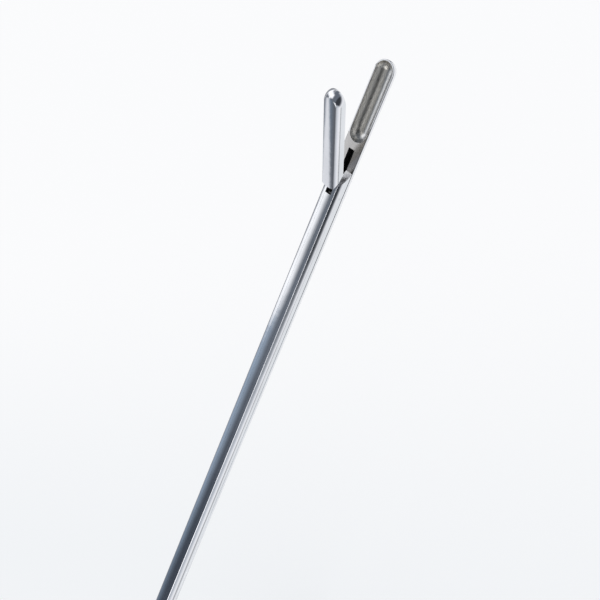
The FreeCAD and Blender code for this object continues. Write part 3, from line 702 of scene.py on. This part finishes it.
# Ferrule
ferruleSizes = {"rear": -156.6, "collarFront": -148.6, "neckRear": -147.9, "neckFront": -146.0,
                "front": -145.6, "collar": 3.4, "neck": 2.7, "lip": 2.3, "edge": 0.15}
ferrule = turnProfile("ferrule", [(ferruleSizes["rear"], body["shaftBore"]),
                                  (ferruleSizes["rear"], body["ferruleSeat"]),
                                  (body["front"], body["ferruleSeat"]),
                                  (body["front"], ferruleSizes["collar"]),
                                  (ferruleSizes["collarFront"], ferruleSizes["collar"]),
                                  (ferruleSizes["neckRear"], ferruleSizes["neck"]),
                                  (ferruleSizes["neckFront"], ferruleSizes["neck"]),
                                  (ferruleSizes["front"], ferruleSizes["lip"]),
                                  (ferruleSizes["front"], body["shaftBore"])],
                      (ferruleSizes["front"], 0, 0), (1, 0, 0), 128)
softenEdges(ferrule, ferruleSizes["edge"], segments=3, angle=20)
placePiece(ferrule, "frame", ["shaft_ferrule"], turnedSteel)

# Cover with its two countersunk screws, and the pivot screw
lid = block("channelCoverPlate", (seat[0] + cover["gap"], -seat[2] + cover["gap"], seat[3]),
            (seat[1] - cover["gap"], seat[2] - cover["gap"], body["top"]))
sinkZ = body["top"] - cover["sinkDepth"]
coverScrew = []
for number, x in enumerate(body["coverScrews"]):
    holeX = x + cover["hole"] + cover["clearance"]
    cutAway(lid, turnProfile("sink", [(x, 1), (holeX, 1), (holeX, sinkZ), (x + cover["sink"], body["top"]),
                                      (x + cover["sink"], past), (x, past)], (x, 0, 0), (0, 0, 1), 64))
    low = body["top"] - cover["length"]
    screw = turnProfile("coverScrew", [(x, low), (x + cover["hole"], low), (x + cover["hole"], sinkZ),
                                       (x + cover["head"], body["top"] - cover["headDrop"]),
                                       (x, body["top"] - cover["headDrop"])], (x, 0, 0), (0, 0, 1), 64)
    slotSize = cover["slotHalf"], cover["slotReach"]      # one slot stands across, the other along
    if number:
        slotSize = slotSize[::-1]
    cutAway(screw, block("driverSlot", (x - slotSize[0], -slotSize[1], body["top"] - cover["sinkDepth"] / 2),
                         (x + slotSize[0], slotSize[1], past)))
    coverScrew.append(screw)
softenEdges(lid, cover["edge"])
placePiece(lid, "frame", ["channel_cover"], handleSteel)
takeOnly(coverScrew[0])
coverScrew[1].select_set(True)
bpy.ops.object.join()
softenEdges(coverScrew[0], cover["screwEdge"])
placePiece(coverScrew[0], "frame", ["cover_screws"], turnedSteel)

screwSizes = {"tipBreak": 0.12, "head": 2.9, "headSide": 4.9, "slotHalf": 0.35, "slotFloor": 4.6,
              "edge": 0.06, "dome": [(2.76, 5.08), (2.4, 5.18), (1.8, 5.25), (1.0, 5.29), (0, 5.295)]}
stem, stemEnd = body["pivotHole"], body["halfWidth"]
pivotScrew = turnProfile("pivotScrew", [(0, -stemEnd), (stem - screwSizes["tipBreak"], -stemEnd),
                                        (stem, screwSizes["tipBreak"] - stemEnd), (stem, stemEnd),
                                        (screwSizes["head"], stemEnd),
                                        (screwSizes["head"], screwSizes["headSide"])]
                         + screwSizes["dome"], (0, 0, 0), (0, 0, 1), 96)
cutAway(pivotScrew, block("pivotDriverSlot", (-4, -screwSizes["slotHalf"], screwSizes["slotFloor"]),
                          (4, screwSizes["slotHalf"], past)))
pivotScrew.rotation_euler = (math.radians(-90), 0, 0)
pivotScrew.location = (leverX, 0, leverZ)
applyPlace(pivotScrew)
softenEdges(pivotScrew, screwSizes["edge"])
placePiece(pivotScrew, "frame", ["handle_pivot_screw"], turnedSteel)

# CAD pieces that keep their shape get a finish
keptFinishes = {
    "jaw_pivot_pin": pinSteel, "guide_studs": pinSteel, "drive_pin": pinSteel, "end_block_pin": pinSteel,
    "lever_pin": pinSteel, "pivot_washers": turnedSteel, "slider_end_block": handleSteel,
    "lever_bushing": bronze}
for nodeName, finish in keptFinishes.items():
    node = frame["nodes"][nodeName]
    node.data.materials.clear()
    node.data.materials.append(finish)
print("finishes on", len(keptFinishes), "kept pieces")

# Camera, where the photograph was taken from
cameraSizes = {"place": (56.85, -88.21, 130.57), "target": (-22.35, 0.0, -3.04), "roll": 101.251,
               "lens": 60.0, "sensor": 36.0, "clip": (0.001, 20.0)}
cameraData = bpy.data.cameras.new("camera")
cameraData.sensor_width = cameraSizes["sensor"]
cameraData.lens = cameraSizes["lens"]
cameraData.clip_start, cameraData.clip_end = cameraSizes["clip"]
camera = bpy.data.objects.new("camera", cameraData)
bpy.context.scene.collection.objects.link(camera)
cameraPoint = Vector(cameraSizes["place"]) * millimetre + pivotPlace
targetPoint = Vector(cameraSizes["target"]) * millimetre + pivotPlace
sight = (targetPoint - cameraPoint).to_track_quat('-Z', 'Y').to_matrix().to_4x4()
camera.matrix_world = (Matrix.Translation(cameraPoint) @ sight
                       @ Matrix.Rotation(math.radians(-cameraSizes["roll"]), 4, 'Z'))
bpy.context.scene.camera = camera
print("camera set")


# Node helpers, used on the tree that nodes and links stand for at the time
def ramp(value, limits):
    # 0 at the first limit, 1 at the second
    rampNode = nodes.new("ShaderNodeMapRange")
    rampNode.interpolation_type = 'SMOOTHSTEP'
    rampNode.inputs["From Min"].default_value = min(limits)
    rampNode.inputs["From Max"].default_value = max(limits)
    rampNode.inputs["To Min"].default_value = 0.0 if limits[0] < limits[1] else 1.0
    rampNode.inputs["To Max"].default_value = 1.0 if limits[0] < limits[1] else 0.0
    links.new(value, rampNode.inputs["Value"])
    return rampNode.outputs["Result"]


def rampAlong(axis, limits):
    return ramp(axes.outputs[axis], limits)


def blendColours(share, first, second):
    mixNode = nodes.new("ShaderNodeMix")
    mixNode.data_type = 'RGBA'
    links.new(share, mixNode.inputs["Factor"])
    for socket, value in ((mixNode.inputs["A"], first), (mixNode.inputs["B"], second)):
        if isinstance(value, tuple):
            socket.default_value = (*value, 1)
        else:
            links.new(value, socket)
    return mixNode.outputs["Result"]


def combine(operation, first, second):
    sumNode = nodes.new("ShaderNodeMath")
    sumNode.operation = operation
    for socket, value in zip(sumNode.inputs, (first, second)):
        if isinstance(value, float):
            socket.default_value = value
        else:
            links.new(value, socket)
    return sumNode.outputs["Value"]


# Floor and studio
studio = {"floorSize": 12.0, "floorX": 0.1, "floorDrop": 0.0005, "matt": (0.93, 0.93, 0.94),
          "nearColour": (0.875, 0.90, 0.925), "farColour": (0.985, 0.99, 1.0), "glow": 0.72,
          "upPicture": (0.81, 0.58, 0), "fade": (0.04, 0.17), "reach": (0.30, 0.80),
          "shadeX": (-0.24, -0.14, -0.06, 0.03), "shadeY": (-0.75, -0.50, -0.16, -0.07),
          "shadeColour": (0.24, 0.25, 0.28)}
lowest = min(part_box(name)[0][2] for name in frame["nodes"])
deselect(action='DESELECT')
bpy.ops.mesh.primitive_plane_add(size=studio["floorSize"],
                                 location=(studio["floorX"], 0, lowest - studio["floorDrop"]))
floor = bpy.context.object
floor.name = "floor"
applyPlace(floor)
floorPaint = bpy.data.materials.new("floorPaint")
floorPaint.use_nodes = True
nodes, links = floorPaint.node_tree.nodes, floorPaint.node_tree.links
nodes.remove(nodes["Principled BSDF"])
output = nodes["Material Output"]
matt = nodes.new("ShaderNodeBsdfDiffuse")
matt.inputs["Color"].default_value = (*studio["matt"], 1)
glow = nodes.new("ShaderNodeEmission")
mixer = nodes.new("ShaderNodeMixShader")
rays = nodes.new("ShaderNodeLightPath")
seen = combine('MAXIMUM', rays.outputs["Is Camera Ray"], rays.outputs["Is Glossy Ray"])
links.new(combine('MULTIPLY', seen, studio["glow"]), mixer.inputs["Fac"])
place = nodes.new("ShaderNodeTexCoord")
upPicture = nodes.new("ShaderNodeVectorMath")     # distance up the picture
upPicture.operation = 'DOT_PRODUCT'
upPicture.inputs[1].default_value = studio["upPicture"]
links.new(place.outputs["Object"], upPicture.inputs[0])
fromMiddle = nodes.new("ShaderNodeVectorMath")    # the gradient is only round the instrument
fromMiddle.operation = 'LENGTH'
links.new(place.outputs["Object"], fromMiddle.inputs[0])
farShare = combine('MAXIMUM', ramp(upPicture.outputs["Value"], studio["fade"]),
                   ramp(fromMiddle.outputs["Value"], studio["reach"]))
floorColour = blendColours(farShare, studio["nearColour"], studio["farColour"])
# mirrored only: a soft dark place on the floor, right of the handles, that gives their sides form
axes = nodes.new("ShaderNodeSeparateXYZ")
links.new(place.outputs["Object"], axes.inputs["Vector"])
softPlace = combine('MULTIPLY', rampAlong("X", studio["shadeX"][:2]),
                    rampAlong("X", studio["shadeX"][:1:-1]))
softPlace = combine('MULTIPLY', softPlace, rampAlong("Y", studio["shadeY"][:2]))
softPlace = combine('MULTIPLY', softPlace, rampAlong("Y", studio["shadeY"][:1:-1]))
softPlace = combine('MULTIPLY', softPlace, rays.outputs["Is Glossy Ray"])
links.new(blendColours(softPlace, floorColour, studio["shadeColour"]), glow.inputs["Color"])
glow.inputs["Strength"].default_value = 1.0
links.new(matt.outputs["BSDF"], mixer.inputs[1])
links.new(glow.outputs["Emission"], mixer.inputs[2])
links.new(mixer.outputs["Shader"], output.inputs["Surface"])
floor.data.materials.append(floorPaint)
print("floor made")

# A grey card low on the left, seen only in reflections, draws the left outlines
flagSizes = {"low": (-0.6, 0.035), "high": (0.8, 0.9), "grey": (0.32, 0.33, 0.36), "lift": 0.001}
deselect(action='DESELECT')
bpy.ops.mesh.primitive_plane_add(size=1, location=((flagSizes["low"][0] + flagSizes["high"][0]) / 2,
                                                   (flagSizes["low"][1] + flagSizes["high"][1]) / 2,
                                                   lowest + flagSizes["lift"]))
flag = bpy.context.object
flag.name = "flag"
flag.scale = (flagSizes["high"][0] - flagSizes["low"][0], flagSizes["high"][1] - flagSizes["low"][1], 1)
applyPlace(flag)
flagPaint = bpy.data.materials.new("flagPaint")
flagPaint.use_nodes = True
nodes, links = flagPaint.node_tree.nodes, flagPaint.node_tree.links
nodes.remove(nodes["Principled BSDF"])
flagGlow = nodes.new("ShaderNodeEmission")
flagGlow.inputs["Color"].default_value = (*flagSizes["grey"], 1)
links.new(flagGlow.outputs["Emission"], nodes["Material Output"].inputs["Surface"])
flag.data.materials.append(flagPaint)
flag.visible_camera = False
flag.visible_diffuse = False
flag.visible_shadow = False
flag.visible_transmission = False
print("grey card made")

# The room: near white for the camera and for matt surfaces. What polished steel mirrors is a white
# tent wall on the left, a blue-grey room beyond it, darkness over the right side and a pale foot.
# Limits are parts of a direction: a colour starts at the first and is full at the second.
room = {"air": (0.97, 0.975, 0.985), "background": (0.963, 0.968, 0.978),
        # overhead, darker to the rear
        "dark": (0.150, 0.170, 0.205), "farDark": (0.060, 0.072, 0.095), "farDarkX": (-0.45, -0.68),
        "jawDark": (0.125, 0.135, 0.155), "jawDarkX": (-0.70, -0.80),
        # left wall and the room beyond it
        "wallLight": (1.16, 1.17, 1.20), "wallY": (0.37, 0.64), "wallX": (-0.48, -0.44),
        "beyond": (0.335, 0.415, 0.525), "farBeyond": (0.20, 0.26, 0.34), "farBeyondX": (-0.56, -0.70),
        # grey that draws the left outlines
        "edgeGrey": (0.22, 0.235, 0.27), "edgeZ": (0.50, 0.40), "edgeX": (-0.76, -0.71),
        "edgeY": (0.45, 0.55), "outerY": (0.69, 0.735),
        # right side
        "rightDark": (0.045, 0.050, 0.060), "rightLight": (0.52, 0.55, 0.60), "rightX": (-0.36, -0.60),
        "sideY": (-0.45, -0.60),
        # bright strip for the crease, and a card in front for the tips
        "strip": (1.9, 1.9, 1.95), "stripX": (-0.285, -0.31), "stripY": (-0.58, -0.48, 0.04, 0.14),
        "stripZ": (0.42, 0.54), "card": (1.25, 1.26, 1.30), "cardX": (0.0, 0.26, 0.55, 0.80),
        "cardY": (0.0, 0.30),
        # pale foot all round
        "foot": (1.02, 1.03, 1.08), "footZ": (0.02, 0.0), "rightFootZ": (0.38, -0.10),
        "leftFoot": (0.82, 0.83, 0.87), "leftFootZ": (0.25, 0.185), "leftY": (-0.1, 0.1)}
world = bpy.context.scene.world or bpy.data.worlds.new("room")
bpy.context.scene.world = world
world.use_nodes = True
nodes, links = world.node_tree.nodes, world.node_tree.links
nodes.clear()
output = nodes.new("ShaderNodeOutputWorld")
direction = nodes.new("ShaderNodeTexCoord")
axes = nodes.new("ShaderNodeSeparateXYZ")
links.new(direction.outputs["Generated"], axes.inputs["Vector"])

overhead = blendColours(rampAlong("X", room["farDarkX"]), room["dark"], room["farDark"])
overhead = blendColours(rampAlong("X", room["jawDarkX"]), overhead, room["jawDark"])
beyond = blendColours(rampAlong("X", room["farBeyondX"]), room["beyond"], room["farBeyond"])
wallColour = blendColours(rampAlong("X", room["wallX"]), beyond, room["wallLight"])
upperRoom = blendColours(rampAlong("Y", room["wallY"]), overhead, wallColour)
edgeShare = combine('MULTIPLY', rampAlong("Z", room["edgeZ"]), rampAlong("X", room["edgeX"]))
edgeShare = combine('MULTIPLY', edgeShare, rampAlong("Y", room["edgeY"]))
edgeShare = combine('MAXIMUM', edgeShare, rampAlong("Y", room["outerY"]))
upperRoom = blendColours(edgeShare, upperRoom, room["edgeGrey"])
rightSide = blendColours(rampAlong("X", room["rightX"]), room["rightDark"], room["rightLight"])
upperRoom = blendColours(rampAlong("Y", room["sideY"]), upperRoom, rightSide)
stripShare = combine('MULTIPLY', rampAlong("Y", room["stripY"][:2]), rampAlong("Y", room["stripY"][:1:-1]))
stripShare = combine('MULTIPLY', stripShare, rampAlong("Z", room["stripZ"]))
stripShare = combine('MULTIPLY', stripShare, rampAlong("X", room["stripX"]))
upperRoom = blendColours(stripShare, upperRoom, room["strip"])
cardShare = combine('MULTIPLY', rampAlong("X", room["cardX"][:2]), rampAlong("X", room["cardX"][:1:-1]))
cardShare = combine('MULTIPLY', cardShare, rampAlong("Y", room["cardY"]))
upperRoom = blendColours(cardShare, upperRoom, room["card"])
leftFoot = combine('MULTIPLY', rampAlong("Z", room["leftFootZ"]), rampAlong("Y", room["leftY"]))
leftFoot = combine('MULTIPLY', leftFoot, rampAlong("X", room["edgeX"][::-1]))
rightFoot = combine('MULTIPLY', rampAlong("Z", room["rightFootZ"]), rampAlong("Y", room["leftY"][::-1]))
upperRoom = blendColours(leftFoot, upperRoom, room["leftFoot"])
footShare = combine('MAXIMUM', rightFoot, rampAlong("Z", room["footZ"]))
mirrored = blendColours(footShare, upperRoom, room["foot"])
lightPath = nodes.new("ShaderNodeLightPath")
roomColour = blendColours(lightPath.outputs["Is Glossy Ray"], room["air"], mirrored)
roomColour = blendColours(lightPath.outputs["Is Camera Ray"], roomColour, room["background"])
background = nodes.new("ShaderNodeBackground")
background.inputs["Strength"].default_value = 1.0
links.new(roomColour, background.inputs["Color"])
links.new(background.outputs["Background"], output.inputs["Surface"])
print("room made")

bpy.context.scene.view_settings.view_transform = 'Standard'
